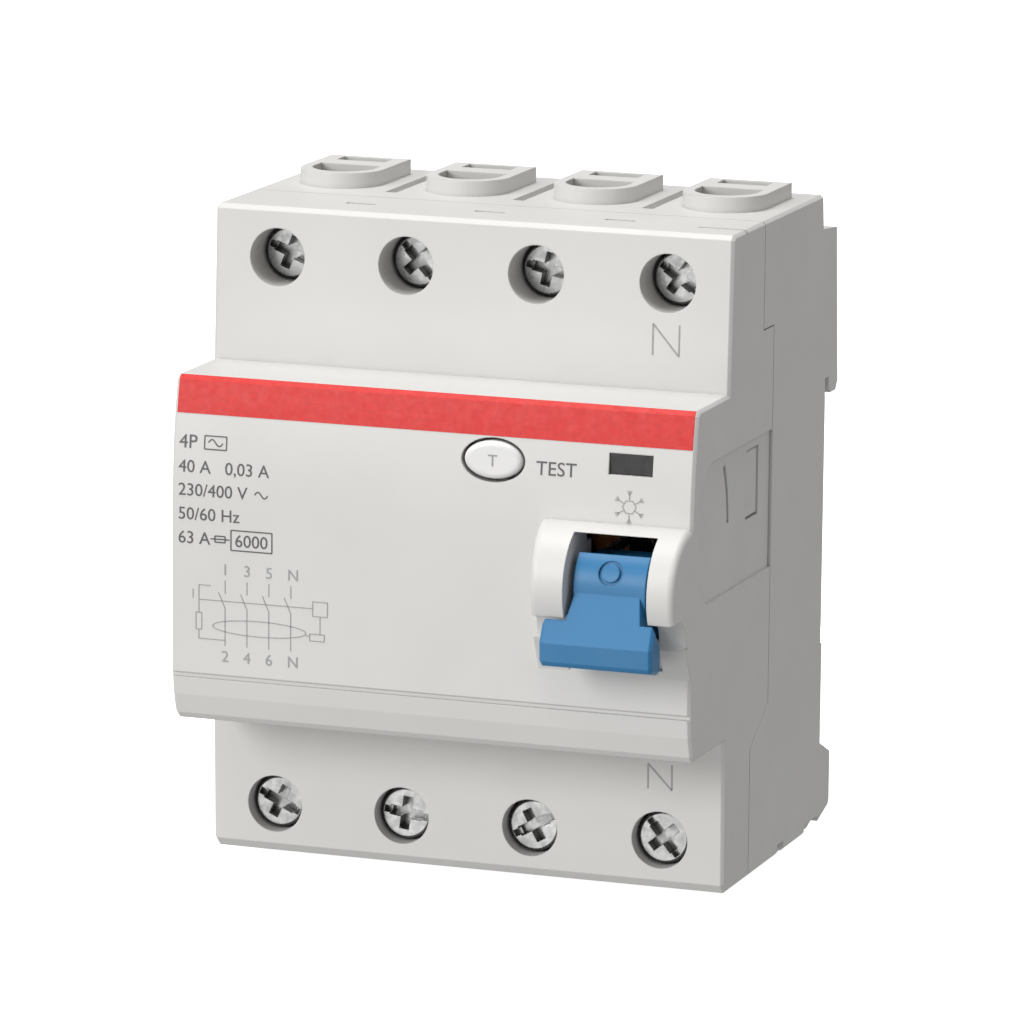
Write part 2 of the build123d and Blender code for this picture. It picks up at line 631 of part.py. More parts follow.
def make_terminals():
    """Lifting cage clamps with their captive screws."""
    rows = (("line", TERM_Z, TOP_HEAD_Y, LINE_TURNS), ("load", -TERM_Z, LOW_HEAD_Y, LOAD_TURNS))
    for row, z, head, turns in rows:
        for number, x in enumerate(POLES, start=1):
            half = CAGE_LEN / 2
            with BuildPart() as cage:
                block((x - CAGE_W / 2, x + CAGE_W / 2), (CAGE_FRONT_Y, CAGE_REAR_Y),
                      (z - half, z + half))
                chamfer(cage.edges().filter_by(Axis.Z), 0.6)
                block((x - CAGE_W / 2 + 1.0, x + CAGE_W / 2 - 1.0),
                      (CAGE_FRONT_Y + CAGE_FRONT_T, CAGE_REAR_Y - CAGE_T),
                      (z - half - 1, z + half + 1), Mode.SUBTRACT)
                rod(x, CAGE_FRONT_Y - 1, z, SCREW_R + THREAD_PLAY, (0, 1, 0), 4, Mode.SUBTRACT)
                # grip ribs across the cage's floor
                for step in (-2, 0, 2):
                    block((x - 3.6, x + 3.6),
                          (CAGE_REAR_Y - CAGE_T - 0.3, CAGE_REAR_Y - CAGE_T + 0.1),
                          (z + step - 0.3, z + step + 0.3))
            save(f"{row}_cage_{number}", cage.part)

            tip = PLATE_Y - PLATE_T / 2 - 0.15
            with BuildPart() as screw:
                rod(x, head, z, HEAD_R, (0, 1, 0), HEAD_T)
                chamfer(screw.edges().filter_by(GeomType.CIRCLE).sort_by(Axis.Y)[0], 0.35)
                rod(x, head + HEAD_T - 0.1, z, SCREW_R, (0, 1, 0), tip - head - HEAD_T + 0.1)
                # combined cross and slot recess
                block((x - 3.0, x + 3.0), (head - 0.5, head + 1.1),
                      (z - SLOT_W / 2, z + SLOT_W / 2), Mode.SUBTRACT)
                block((x - CROSS_W / 2, x + CROSS_W / 2), (head - 0.5, head + 1.7),
                      (z - CROSS_HALF, z + CROSS_HALF), Mode.SUBTRACT)
                block((x - CROSS_HALF, x + CROSS_HALF), (head - 0.5, head + 1.7),
                      (z - CROSS_W / 2, z + CROSS_W / 2), Mode.SUBTRACT)
            stem = Axis((x, head, z), (0, 1, 0))
            save(f"{row}_screw_{number}", screw.part.rotate(stem, turns[number - 1]))


def make_test_circuit():
    """Test button, contact blade, resistor and the small circuit board behind them."""
    front = face_y(BUTTON_Z) - 0.3
    with BuildPart() as button:
        with BuildSketch(Plane.XZ.offset(-front)):
            with Locations((BUTTON_X, BUTTON_Z)):
                Ellipse(BUTTON_RX, BUTTON_RZ)
        extrude(amount=-4.0)
        rim = button.edges().sort_by(Axis.Y)[0]
        fillet(rim, 0.7)
        with BuildSketch(Plane.XZ.offset(-(front + 4.0))):
            with Locations((BUTTON_X, BUTTON_Z)):
                Ellipse(BUTTON_RX + 0.9, BUTTON_RZ + 0.9)
        extrude(amount=-0.9)
        rod(BUTTON_X, front + 4.5, BUTTON_Z, 1.5, (0, 1, 0), 1.5)
    save("test_button", button.part)

    blade_y = front + 6.3
    board_y = blade_y + 2.6
    with BuildPart() as board:
        block((-13.0, 13.0), (board_y, board_y + 1.5), (8.0, 19.5))
    save("test_board", board.part)

    with BuildPart() as blade:
        block((-7.0, BUTTON_X + 2), (blade_y, blade_y + 0.4), (BUTTON_Z - 1.4, BUTTON_Z + 1.4))
        # rolled eye at the blade's root, its hinge line
        rod(-6.6, blade_y + 0.2, BUTTON_Z - 1.4, 0.6, (0, 0, 1), 2.8)
        block((-7.0, -6.0), (blade_y + 0.2, board_y - 0.1), (BUTTON_Z - 1.4, BUTTON_Z + 1.4))
    save("test_blade", blade.part)

    with BuildPart() as stud:
        rod(BUTTON_X, board_y, BUTTON_Z, 1.2, (0, -1, 0), 0.6)
    save("test_stud", stud.part)

    with BuildPart() as resistor:
        level = board_y + 3.8
        with BuildLine():
            FilletPolyline((-7, board_y + 1.5, 13.5), (-7, level, 13.5), (7, level, 13.5),
                           (7, board_y + 1.5, 13.5), radius=0.8)
        with BuildSketch(Plane(origin=(-7, board_y + 1.5, 13.5), z_dir=(0, 1, 0))):
            Circle(0.35)
        sweep()
        rod(-5.0, level, 13.5, 1.7, (1, 0, 0), 10.0)
    save("test_resistor", resistor.part)


def flag_section(inner):
    """Sector of a ring around the flag's pivot, added to the sketch in hand."""
    outer = FLAG_R + FLAG_T
    low, high = radians(FLAG_LOW), radians(FLAG_HIGH)
    middle = (low + high) / 2

    def at(radius, turn):
        return (FLAG_Y - radius * cos(turn), FLAG_Z + radius * sin(turn))

    with BuildSketch(mode=Mode.PRIVATE) as section:
        with BuildLine():
            ThreePointArc(at(outer, low), at(outer, middle), at(outer, high))
            Line(at(outer, high), at(inner, high))
            ThreePointArc(at(inner, high), at(inner, middle), at(inner, low))
            Line(at(inner, low), at(outer, low))
        make_face()
    add(section.sketch)


def make_indicator():
    """Contact position flag and the clear window in front of it."""
    front = face_y((LENS_Z0 + LENS_Z1) / 2)
    with BuildPart() as lens:
        block((LENS_X0, LENS_X1), (front + 0.35, front + 2.7), (LENS_Z0, LENS_Z1))
        block((LENS_X0 - 0.8, LENS_X1 + 0.8), (front + 2.7, front + 3.2),
              (LENS_Z0 - 0.8, LENS_Z1 + 0.8))
    save("indicator_lens", lens.part)

    x_in = LENS_X0 - 0.4
    x_web = 31.2
    x_out = 32.6
    with BuildPart() as flag:
        with BuildSketch(Plane.YZ.offset(x_in)):
            flag_section(FLAG_R)
        extrude(amount=x_out - x_in)
        # web and boss at the right end
        with BuildSketch(Plane.YZ.offset(x_web)):
            flag_section(0.2)
            with Locations((FLAG_Y, FLAG_Z)):
                Circle(FLAG_PIN_R + 1.0)
        extrude(amount=x_out - x_web)
        rod(x_web - 1, FLAG_Y, FLAG_Z, FLAG_PIN_R + PIN_PLAY, (1, 0, 0), 4, Mode.SUBTRACT)
    save("indicator_flag", flag.part)


def make_relay():
    """Trip relay: case, coil, magnet yoke and plunger, with the trip latch beside it."""
    x = (-13.0, 7.0)
    y = (-48.0, -35.0)
    z = (-17.5, -2.5)
    with BuildPart() as case:
        block(x, y, z)
        block((x[0] + 1, x[1] + 1), (y[0] + 1, y[1] - 1), (z[0] + 1, z[1] - 1), Mode.SUBTRACT)
        block((x[1] - 1.2, x[1]), (y[0] + 0.5, y[1] - 0.5), (z[0] + 0.5, z[1] - 0.5))
        rod(x[1] - 2, -41.5, -10, 1.55, (1, 0, 0), 4, Mode.SUBTRACT)
    save("relay_case", case.part)

    with BuildPart() as coil:
        rod(-6.0, -41.5, -10, 4.6, (1, 0, 0), 10.0)
        rod(-7.0, -41.5, -10, 1.8, (1, 0, 0), 14.0, Mode.SUBTRACT)
    save("relay_coil", coil.part)

    with BuildPart() as yoke:
        block((-9.4, 4.9), (-47.2 + 0.5, -36.0), (-16.2, -3.8))
        block((-8.0, 6.0), (-47.5, -35.5), (-15.0, -5.0), Mode.SUBTRACT)
        block((-9.4, -6.4), (-43.5, -39.5), (-12.0, -8.0))
    save("relay_yoke", yoke.part)

    with BuildPart() as plunger:
        rod(-5.8, -41.5, -10, 1.5, (1, 0, 0), 14.2)
        rod(7.2, -41.5, -10, 2.2, (1, 0, 0), 1.4)
    save("relay_plunger", plunger.part)

    with BuildPart() as latch:
        block((10.4, 11.8), (-44.0, -39.0), (-14.0, 4.0))
        block((10.4, 16.5), (-44.0, -42.0), (2.4, 4.0))
        rod(11.1, -46.0, -2.0, 2.2, (0, 1, 0), 9.0)
        rod(11.1, -47.0, -2.0, 1.05, (0, 1, 0), 12.0, Mode.SUBTRACT)
    save("trip_latch", latch.part)

    with BuildPart() as pivot:
        rod(11.1, NOSE_Y + WALL, -2.0, 1.0, (0, 1, 0), 17.5)
    save("latch_pin", pivot.part)


def make_clips():
    """Sliding rail clips with their own spring legs, in the channels of the foot."""
    for name, x in (("left", -PITCH), ("right", PITCH)):
        half = CLIP_W / 2
        with BuildPart() as clip:
            block((x - half, x + half), (CLIP_Y0, CLIP_Y1), (-41.6, -19.0))
            # nose that reaches behind the rail's lower lip
            with BuildSketch(Plane.YZ.offset(x - half)):
                with BuildLine():
                    Polyline((CLIP_Y0 + 0.5, -20), (CLIP_Y1, -20), (CLIP_Y1, -17.2),
                             (CLIP_Y1 - 0.9, -15.8), (CLIP_Y0 + 0.5, -15.8),
                             (CLIP_Y0 + 0.5, -20))
                make_face()
            extrude(amount=CLIP_W)
            # window that leaves two spring legs
            for side in (-1, 1):
                block((x + side * 5.4 - 2.4, x + side * 5.4 + 2.4), (CLIP_Y0 - 1, CLIP_Y1 + 1),
                      (-33.0, -23.0), Mode.SUBTRACT)
            # screwdriver slot
            block((x - 3.5, x + 3.5), (CLIP_Y0 - 1, CLIP_Y1 + 1), (-40.0, -38.2), Mode.SUBTRACT)
        save(f"rail_clip_{name}", clip.part)


def make_side_plugs():
    """Blanking plugs of the coupling windows in both sides."""
    for name, side in (("left", -1), ("right", 1)):
        with BuildPart() as plug:
            x = sorted((side * (HALF_W - 0.5), side * (HALF_W - WALL)))
            block(x, (-32.4, -27.6), (4.9, 13.7))
            chamfer(plug.faces().sort_by(Axis.X)[-1 if side > 0 else 0].edges(), 0.25)
        save(f"coupling_plug_{name}", plug.part)


os.makedirs("parts", exist_ok=True)
make_front_cover()
make_base_housing()
make_lever()
make_link()
make_contact_carrier()
make_carrier_spring()
make_contacts()
make_conductors()
make_transformer()
make_terminals()
make_test_circuit()
make_indicator()
make_relay()
make_clips()
make_side_plugs()
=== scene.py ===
"""Looks of a four-pole residual current circuit breaker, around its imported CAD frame.

Metres, +Z up, the front faces -Y, the origin is the centre of the rail seat.
"""
import json
import math

import bmesh
import bpy
from mathutils import Matrix, Vector
from mathutils.bvhtree import BVHTree


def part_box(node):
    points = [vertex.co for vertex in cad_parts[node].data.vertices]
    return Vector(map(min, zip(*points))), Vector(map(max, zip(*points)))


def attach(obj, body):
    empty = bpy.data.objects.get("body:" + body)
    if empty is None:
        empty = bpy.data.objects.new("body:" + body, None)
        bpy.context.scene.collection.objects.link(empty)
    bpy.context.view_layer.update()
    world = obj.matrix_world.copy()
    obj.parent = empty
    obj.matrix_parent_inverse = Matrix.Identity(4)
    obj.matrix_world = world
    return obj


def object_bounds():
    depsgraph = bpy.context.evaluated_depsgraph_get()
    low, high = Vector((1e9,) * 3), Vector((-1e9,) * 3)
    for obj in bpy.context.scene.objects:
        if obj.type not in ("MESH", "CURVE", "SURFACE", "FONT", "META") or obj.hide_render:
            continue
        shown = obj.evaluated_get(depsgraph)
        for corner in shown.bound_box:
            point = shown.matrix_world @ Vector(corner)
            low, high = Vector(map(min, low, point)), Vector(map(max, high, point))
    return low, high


MM = 0.001
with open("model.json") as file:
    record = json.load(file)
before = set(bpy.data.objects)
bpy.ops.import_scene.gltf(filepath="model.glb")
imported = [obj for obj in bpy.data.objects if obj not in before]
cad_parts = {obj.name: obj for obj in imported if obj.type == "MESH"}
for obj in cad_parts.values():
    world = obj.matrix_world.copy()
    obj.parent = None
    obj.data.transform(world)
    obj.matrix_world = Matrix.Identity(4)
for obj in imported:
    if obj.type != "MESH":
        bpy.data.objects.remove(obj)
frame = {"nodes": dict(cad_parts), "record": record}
nodes = frame["nodes"]
cad_box = [list(corner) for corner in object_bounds()]

# places worked out from the frame
HALF_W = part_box("front_cover")[1].x
BUTTON_LOW, BUTTON_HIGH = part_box("test_button")

# ---- camera ---------------------------------------------------------------
CAMERA_AZIMUTH = 19.64
CAMERA_ELEVATION = 11.25
CAMERA_ROLL = 0.55
CAMERA_DISTANCE = 892.7 * MM
CAMERA_TARGET = Vector((2.22, -30.0, 2.98)) * MM
CAMERA_LENS = 242.9


def make_camera():
    """The viewpoint: to the right of the front and a little above it."""
    az = math.radians(CAMERA_AZIMUTH)
    el = math.radians(CAMERA_ELEVATION)
    roll = math.radians(CAMERA_ROLL)
    back = Vector((math.sin(az) * math.cos(el), -math.cos(az) * math.cos(el), math.sin(el)))
    right = Vector((math.cos(az), math.sin(az), 0.0))
    up = back.cross(right)
    rolled_right = right * math.cos(roll) + up * math.sin(roll)
    rolled_up = up * math.cos(roll) - right * math.sin(roll)
    camera = bpy.data.objects.new("camera", bpy.data.cameras.new("camera"))
    camera.data.lens = CAMERA_LENS
    camera.data.sensor_width = 36.0
    camera.data.clip_start = 0.01
    camera.data.clip_end = 20.0
    turn = Matrix((rolled_right, rolled_up, back)).transposed()
    place = Matrix.Translation(CAMERA_TARGET + back * CAMERA_DISTANCE)
    camera.matrix_world = place @ turn.to_4x4()
    bpy.context.scene.collection.objects.link(camera)
    bpy.context.scene.camera = camera


# ---- materials ------------------------------------------------------------
# noise scales are per metre, reaches and bump distances are in metres
MASK_SAMPLES = 4
PLASTIC_CLOUD = 60.0
PLASTIC_SMUDGE = 180.0
PLASTIC_DARKER = 0.965
# painted shade: how far the corner darkening of plastic reaches, and how dark it gets
CORNER_SHADE_REACH = 0.0012
CORNER_SHADE_SHARE = 0.62
METAL_CLOUD = 350.0
METAL_TINT = 0.72
# painted shade: how far the darkening of metal recesses reaches
RECESS_SHADE_REACH = 0.0010
METAL_EDGE = 0.00015
FINE_BUMP = 0.00002
GRAIN_BUMP = 0.00003


def new_material(name):
    """An empty node material with its Principled shader; returns the tree and the shader."""
    material = bpy.data.materials.new(name)
    material.use_nodes = True
    tree = material.node_tree
    return material, tree, tree.nodes["Principled BSDF"]


def noise(tree, scale, detail=4.0, rough=0.55):
    """Noise in object space, so it keeps its size on every piece."""
    place = tree.nodes.new("ShaderNodeTexCoord")
    texture = tree.nodes.new("ShaderNodeTexNoise")
    texture.inputs["Scale"].default_value = scale
    texture.inputs["Detail"].default_value = detail
    texture.inputs["Roughness"].default_value = rough
    tree.links.new(place.outputs["Object"], texture.inputs["Vector"])
    return texture.outputs["Fac"]


def ramp(tree, value, low, high, start=0.3, end=0.7):
    """Maps a value between two stops, each a grey or a colour."""
    node = tree.nodes.new("ShaderNodeMapRange")
    node.inputs["From Min"].default_value = start
    node.inputs["From Max"].default_value = end
    node.inputs["To Min"].default_value = low
    node.inputs["To Max"].default_value = high
    tree.links.new(value, node.inputs["Value"])
    return node.outputs["Result"]


def mix_colour(tree, factor, first, second):
    """Mixes two colours, each a tuple or a socket, by a factor socket."""
    node = tree.nodes.new("ShaderNodeMix")
    node.data_type = "RGBA"
    for socket, colour in ((node.inputs[6], first), (node.inputs[7], second)):
        if isinstance(colour, tuple):
            socket.default_value = (*colour, 1.0)
        else:
            tree.links.new(colour, socket)
    tree.links.new(factor, node.inputs[0])
    return node.outputs[2]


def edge_mask(tree, radius):
    """1 along worn edges, where a rounded normal leaves the flat one; also the rounded normal."""
    bevel = tree.nodes.new("ShaderNodeBevel")
    bevel.samples = MASK_SAMPLES
    bevel.inputs["Radius"].default_value = radius
    shape = tree.nodes.new("ShaderNodeNewGeometry")
    dot = tree.nodes.new("ShaderNodeVectorMath")
    dot.operation = "DOT_PRODUCT"
    tree.links.new(bevel.outputs["Normal"], dot.inputs[0])
    tree.links.new(shape.outputs["Normal"], dot.inputs[1])
    return ramp(tree, dot.outputs["Value"], 1.0, 0.0, 0.80, 0.99), bevel.outputs["Normal"]


def bump(tree, height, strength, distance, normal=None):
    node = tree.nodes.new("ShaderNodeBump")
    node.inputs["Strength"].default_value = strength
    node.inputs["Distance"].default_value = distance
    tree.links.new(height, node.inputs["Height"])
    if normal is not None:
        tree.links.new(normal, node.inputs["Normal"])
    return node.outputs["Normal"]


def crevice(tree, distance):
    """0 in tight corners and 1 in the open."""
    node = tree.nodes.new("ShaderNodeAmbientOcclusion")
    node.samples = MASK_SAMPLES
    node.inputs["Distance"].default_value = distance
    return node.outputs["AO"]


def moulded(name, colour, rough=0.42, grain=2600.0, strength=0.12, round_edge=0.00025, wear=0.10):
    """Moulded plastic: spark-eroded grain, cloudy colour, rubbed edges, painted shade in corners.
    """
    material, tree, shader = new_material(name)
    cloudy = noise(tree, PLASTIC_CLOUD, 3.0)
    darker = tuple(c * PLASTIC_DARKER for c in colour)
    lighter = tuple(min(1.0, c * (1 + wear)) for c in colour)
    base = mix_colour(tree, ramp(tree, cloudy, 0.0, 1.0), darker, colour)
    edge, rounded = edge_mask(tree, round_edge)
    base = mix_colour(tree, ramp(tree, edge, 0.0, 0.8, 0.0, 1.0), base, lighter)
    # painted shade: corners and seams darkened by an occlusion mask
    corner_shade_colour = tuple(c * CORNER_SHADE_SHARE for c in colour)
    corner = ramp(tree, crevice(tree, CORNER_SHADE_REACH), 0.75, 0.0, 0.15, 0.75)
    base = mix_colour(tree, corner, base, corner_shade_colour)
    tree.links.new(base, shader.inputs["Base Color"])
    smudge = noise(tree, PLASTIC_SMUDGE, 5.0)
    tree.links.new(ramp(tree, smudge, rough - 0.05, rough + 0.06), shader.inputs["Roughness"])
    tree.links.new(bump(tree, noise(tree, grain, 3.0), strength, GRAIN_BUMP, rounded),
                   shader.inputs["Normal"])
    shader.inputs["Specular IOR Level"].default_value = 0.45
    return material


def metal(name, colour, rough=0.3, stretch=900.0, recess_shade_share=0.35):
    """Plated or drawn metal: fine scratches, cloudy plating, painted shade in recesses."""
    material, tree, shader = new_material(name)
    cloud = noise(tree, METAL_CLOUD, 6.0)
    tint = tuple(c * METAL_TINT for c in colour)
    base = mix_colour(tree, ramp(tree, cloud, 0.0, 1.0), tint, colour)
    # painted shade: recesses darkened by an occlusion mask
    recess_shade_colour = tuple(c * recess_shade_share for c in colour)
    recess_shade_mask = ramp(tree, crevice(tree, RECESS_SHADE_REACH), 0.9, 0.0, 0.1, 0.7)
    base = mix_colour(tree, recess_shade_mask, base, recess_shade_colour)
    tree.links.new(base, shader.inputs["Base Color"])
    shader.inputs["Metallic"].default_value = 1.0
    tree.links.new(ramp(tree, noise(tree, stretch, 5.0), rough - 0.1, rough + 0.14),
                   shader.inputs["Roughness"])
    _, rounded = edge_mask(tree, METAL_EDGE)
    tree.links.new(bump(tree, noise(tree, stretch * 1.5, 4.0), 0.18, GRAIN_BUMP, rounded),
                   shader.inputs["Normal"])
    return material


def ink(name, colour, rough=0.5):
    """Pad-printed ink: slightly uneven cover and sheen."""
    material, tree, shader = new_material(name)
    thin = tuple(min(1.0, c * 1.25 + 0.01) for c in colour)
    base = mix_colour(tree, ramp(tree, noise(tree, 1500.0), 0.0, 0.7), colour, thin)
    tree.links.new(base, shader.inputs["Base Color"])
    tree.links.new(ramp(tree, noise(tree, 700.0), rough - 0.06, rough + 0.06),
                   shader.inputs["Roughness"])
    tree.links.new(bump(tree, noise(tree, 2600.0), 0.08, FINE_BUMP), shader.inputs["Normal"])
    return material


def smoked_window(name):
    """Smoked polycarbonate window with a light haze."""
    material, tree, shader = new_material(name)
    haze = mix_colour(tree, ramp(tree, noise(tree, 500.0), 0.0, 1.0),
                      (0.007, 0.006, 0.006), (0.014, 0.012, 0.011))
    tree.links.new(haze, shader.inputs["Base Color"])
    tree.links.new(ramp(tree, noise(tree, 900.0), 0.22, 0.34), shader.inputs["Roughness"])
    shader.inputs["Specular IOR Level"].default_value = 0.3
    tree.links.new(bump(tree, noise(tree, 1200.0), 0.05, FINE_BUMP), shader.inputs["Normal"])
    shader.inputs["Transmission Weight"].default_value = 0.25
    shader.inputs["IOR"].default_value = 1.58
    return material


def wound_core(name):
    """Strip-wound core: dull grey, cloudy and finely rough."""
    material, tree, shader = new_material(name)
    base = mix_colour(tree, ramp(tree, noise(tree, 400.0), 0.0, 1.0),
                      (0.10, 0.10, 0.11), (0.20, 0.20, 0.21))
    tree.links.new(base, shader.inputs["Base Color"])
    shader.inputs["Metallic"].default_value = 0.8
    tree.links.new(ramp(tree, noise(tree, 800.0), 0.4, 0.6), shader.inputs["Roughness"])
    tree.links.new(bump(tree, noise(tree, 3000.0), 0.2, 0.00004), shader.inputs["Normal"])
    return material


MATERIALS = {
    "housing": moulded("housing", (0.640, 0.632, 0.612), rough=0.44),
    "lever": moulded("lever", (0.026, 0.172, 0.365), rough=0.38, wear=0.25),
    "button": moulded("button", (0.74, 0.735, 0.72), rough=0.26, strength=0.05),
    "clip": moulded("clip", (0.50, 0.50, 0.49), rough=0.5),
    "window": smoked_window("window"),
    "flag": moulded("flag", (0.03, 0.20, 0.06), rough=0.5),
    # the zinc's recess darkening is nearly black: painted shade of the deep screw wells
    "zinc": metal("zinc", (0.38, 0.38, 0.37), rough=0.28, recess_shade_share=0.08),
    "cage": metal("cage", (0.66, 0.62, 0.50), rough=0.36),
    "steel": metal("steel", (0.62, 0.62, 0.62), rough=0.26),
    "copper": metal("copper", (0.80, 0.43, 0.27), rough=0.28),
    "winding": moulded("winding", (0.45, 0.13, 0.04), rough=0.25, wear=0.3),
    "core": wound_core("core"),
    "dark_moulding": moulded("dark_moulding", (0.030, 0.030, 0.034), rough=0.5, wear=0.5),
    "board": moulded("board", (0.03, 0.17, 0.06), rough=0.3),
    "resistor": moulded("resistor", (0.40, 0.29, 0.16), rough=0.35),
    "red_print": ink("red_print", (0.560, 0.010, 0.006), rough=0.5),
    "grey_print": ink("grey_print", (0.085, 0.085, 0.088)),
}
# grey for real print, and also painted shade inside the engraved N marks
FAINT_PRINT_AND_ENGRAVING_SHADE = ink("faint_print_and_engraving_shade", (0.30, 0.30, 0.30))
SMOOTH_ANGLE = 28       # degrees; flatter joins between faces are shaded smooth


def dress_cad():
    """Gives each CAD node its finish, and smooth shading across its curved faces."""
    for part in frame["record"]["subparts"]:
        mesh = nodes[part["node"]].data
        mesh.materials.clear()
        mesh.materials.append(MATERIALS[part["material_slot"]])
        mesh.shade_smooth()
        mesh.set_sharp_from_angle(angle=math.radians(SMOOTH_ANGLE))


# ---- printing, and painted engraving shade --------------------------------
def surface_of(node):
    """A ray-cast tree of a CAD node's mesh."""
    mesh = nodes[node].data
    points = [v.co.copy() for v in mesh.vertices]
    faces = [tuple(p.vertices) for p in mesh.polygons]
    return BVHTree.FromPolygons(points, faces)


COVER_SURFACE = surface_of("front_cover")
BUTTON_SURFACE = surface_of("test_button")
INK_LIFT = 0.025 * MM
INK_THICK = 0.02 * MM
CAP_SHARE = 0.70        # cap height over the font's size
RAY_START_Y = -0.1

# artwork is placed in millimetres
LINE = 0.16
THIN_LINE = 0.11
SYMBOL_LINE = 0.12
MARK_LINE = 0.2
STROKE_STEP = 1.5       # longest stretch of a stroke between points laid on the surface
TEXT_LEFT = -34.1
TITLE_SIZE = 1.75
TEXT_SIZE = 1.6
SMALL_SIZE = 1.45
BUTTON_LETTER = 1.5
POLE_X = (-27.6, -24.6, -21.6, -18.6)
TEST_PLACE = (14.1, 13.2)
SNOW_CENTRE = (26.6, 10.0)
SNOW_HEX = 0.9
SNOW_FORK = 1.5
SNOW_TIP = 2.1
SNOW_BARB = 0.6
BARB_LEAN = 0.5         # radians
BAND_INSET = 0.45
BAND_LEVELS = (17.6, 18.4, 19.2, 20.0, 20.8, 21.4, 21.79, 22.0, 22.2, 22.37)
BAND_COLUMNS = 40


def lay_on_front(bm, surface):
    """Moves flat artwork, drawn in X and Z, onto the surface behind it."""
    for vert in bm.verts:
        proud = vert.co.y
        start = Vector((vert.co.x, RAY_START_Y, vert.co.z))
        hit = surface.ray_cast(start, Vector((0, 1, 0)))[0]
        if hit is None:
            raise RuntimeError(f"the artwork leaves the surface at {vert.co}")
        vert.co.y = hit.y - INK_LIFT - proud


def finish_print(name, bm, material, body, surface):
    """Turns artwork into a piece that rides on a body."""
    lay_on_front(bm, surface)
    bmesh.ops.recalc_face_normals(bm, faces=bm.faces)
    mesh = bpy.data.meshes.new(name)
    bm.to_mesh(mesh)
    bm.free()
    mesh.materials.append(material)
    piece = bpy.data.objects.new(name, mesh)
    bpy.context.scene.collection.objects.link(piece)
    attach(piece, body)
    return piece


def add_text(bm, text, x, z, size, align="LEFT"):
    """Adds raised lettering to the artwork; x and z in millimetres, size is the cap height."""
    curve = bpy.data.curves.new("lettering", "FONT")
    curve.body = text
    curve.size = size * MM / CAP_SHARE
    curve.align_x = align
    curve.extrude = INK_THICK / 2
    curve.resolution_u = 4
    holder = bpy.data.objects.new("lettering", curve)
    bpy.context.scene.collection.objects.link(holder)
    bpy.context.view_layer.update()
    mesh = bpy.data.meshes.new_from_object(holder.evaluated_get(
        bpy.context.evaluated_depsgraph_get()))
    turn = Matrix.Translation((x * MM, 0, z * MM)) @ Matrix.Rotation(math.radians(90), 4, "X")
    mesh.transform(turn)
    for vertex in mesh.vertices:
        vertex.co.y = -vertex.co.y + INK_THICK / 2
    bm.from_mesh(mesh)
    bpy.data.objects.remove(holder)
    bpy.data.curves.remove(curve)
    bpy.data.meshes.remove(mesh)


def add_stroke(bm, start, end, width=LINE):
    """Adds a thin printed line between two points, in millimetres."""
    a = Vector((start[0], 0, start[1])) * MM
    b = Vector((end[0], 0, end[1])) * MM
    along = (b - a).normalized()
    side = Vector((-along.z, 0, along.x)) * (width * MM / 2)
    steps = max(1, int((b - a).length / (STROKE_STEP * MM)))
    rows = []
    for i in range(steps + 1):
        middle = a.lerp(b, i / steps)
        corners = []
        for across, lift in ((-1, 0.0), (1, 0.0), (1, INK_THICK), (-1, INK_THICK)):
            corners.append(bm.verts.new(middle + side * across + Vector((0, lift, 0))))
        rows.append(corners)
    for first, second in zip(rows, rows[1:]):
        for k in range(4):
            bm.faces.new((first[k], first[(k + 1) % 4], second[(k + 1) % 4], second[k]))
    bm.faces.new(rows[0])
    bm.faces.new(rows[-1][::-1])


def add_box(bm, x0, x1, z0, z1, width=LINE):
    """Adds a printed rectangle's outline."""
    add_stroke(bm, (x0, z0), (x1, z0), width)
    add_stroke(bm, (x0, z1), (x1, z1), width)
    add_stroke(bm, (x0, z0), (x0, z1), width)
    add_stroke(bm, (x1, z0), (x1, z1), width)


def add_ring(bm, x, z, rx, rz, width=LINE, count=40):
    """Adds a printed ellipse."""
    points = []
    for i in range(count + 1):
        turn = 2 * math.pi * i / count
        points.append((x + rx * math.cos(turn), z + rz * math.sin(turn)))
    for first, second in zip(points, points[1:]):
        add_stroke(bm, first, second, width)


def add_wave(bm, x, z, length, height, width=LINE):
    """Adds one period of a sine wave, the sign for alternating current."""
    points = []
    for i in range(13):
        share = i / 12
        points.append((x + length * share, z + height * math.sin(2 * math.pi * share)))
    for first, second in zip(points, points[1:]):
        add_stroke(bm, first, second, width)


def print_ratings():
    """Five short lines of generic ratings in the upper left of the nose."""
    bm = bmesh.new()
    add_text(bm, "4P", TEXT_LEFT, 13.2, TITLE_SIZE)
    rows = (("40 A   0,03 A", 10.1), ("230/400 V", 7.1), ("50/60 Hz", 4.0), ("63 A", 0.9))
    for words, z in rows:
        add_text(bm, words, TEXT_LEFT, z, TEXT_SIZE)
    add_wave(bm, -23.6, 7.8, 1.8, 0.4)
    add_stroke(bm, (-29.6, 1.7), (-27.0, 1.7))
    add_box(bm, -29.0, -27.6, 1.3, 2.1)
    add_text(bm, "6000", -26.3, 0.9, TEXT_SIZE)
    add_box(bm, -26.8, -21.2, 0.4, 3.0)
    add_box(bm, -30.6, -27.6, 13.2, 14.9)
    add_wave(bm, -30.1, 14.05, 2.0, 0.42)
    finish_print("rating_print", bm, MATERIALS["grey_print"], "housing",
                 COVER_SURFACE)


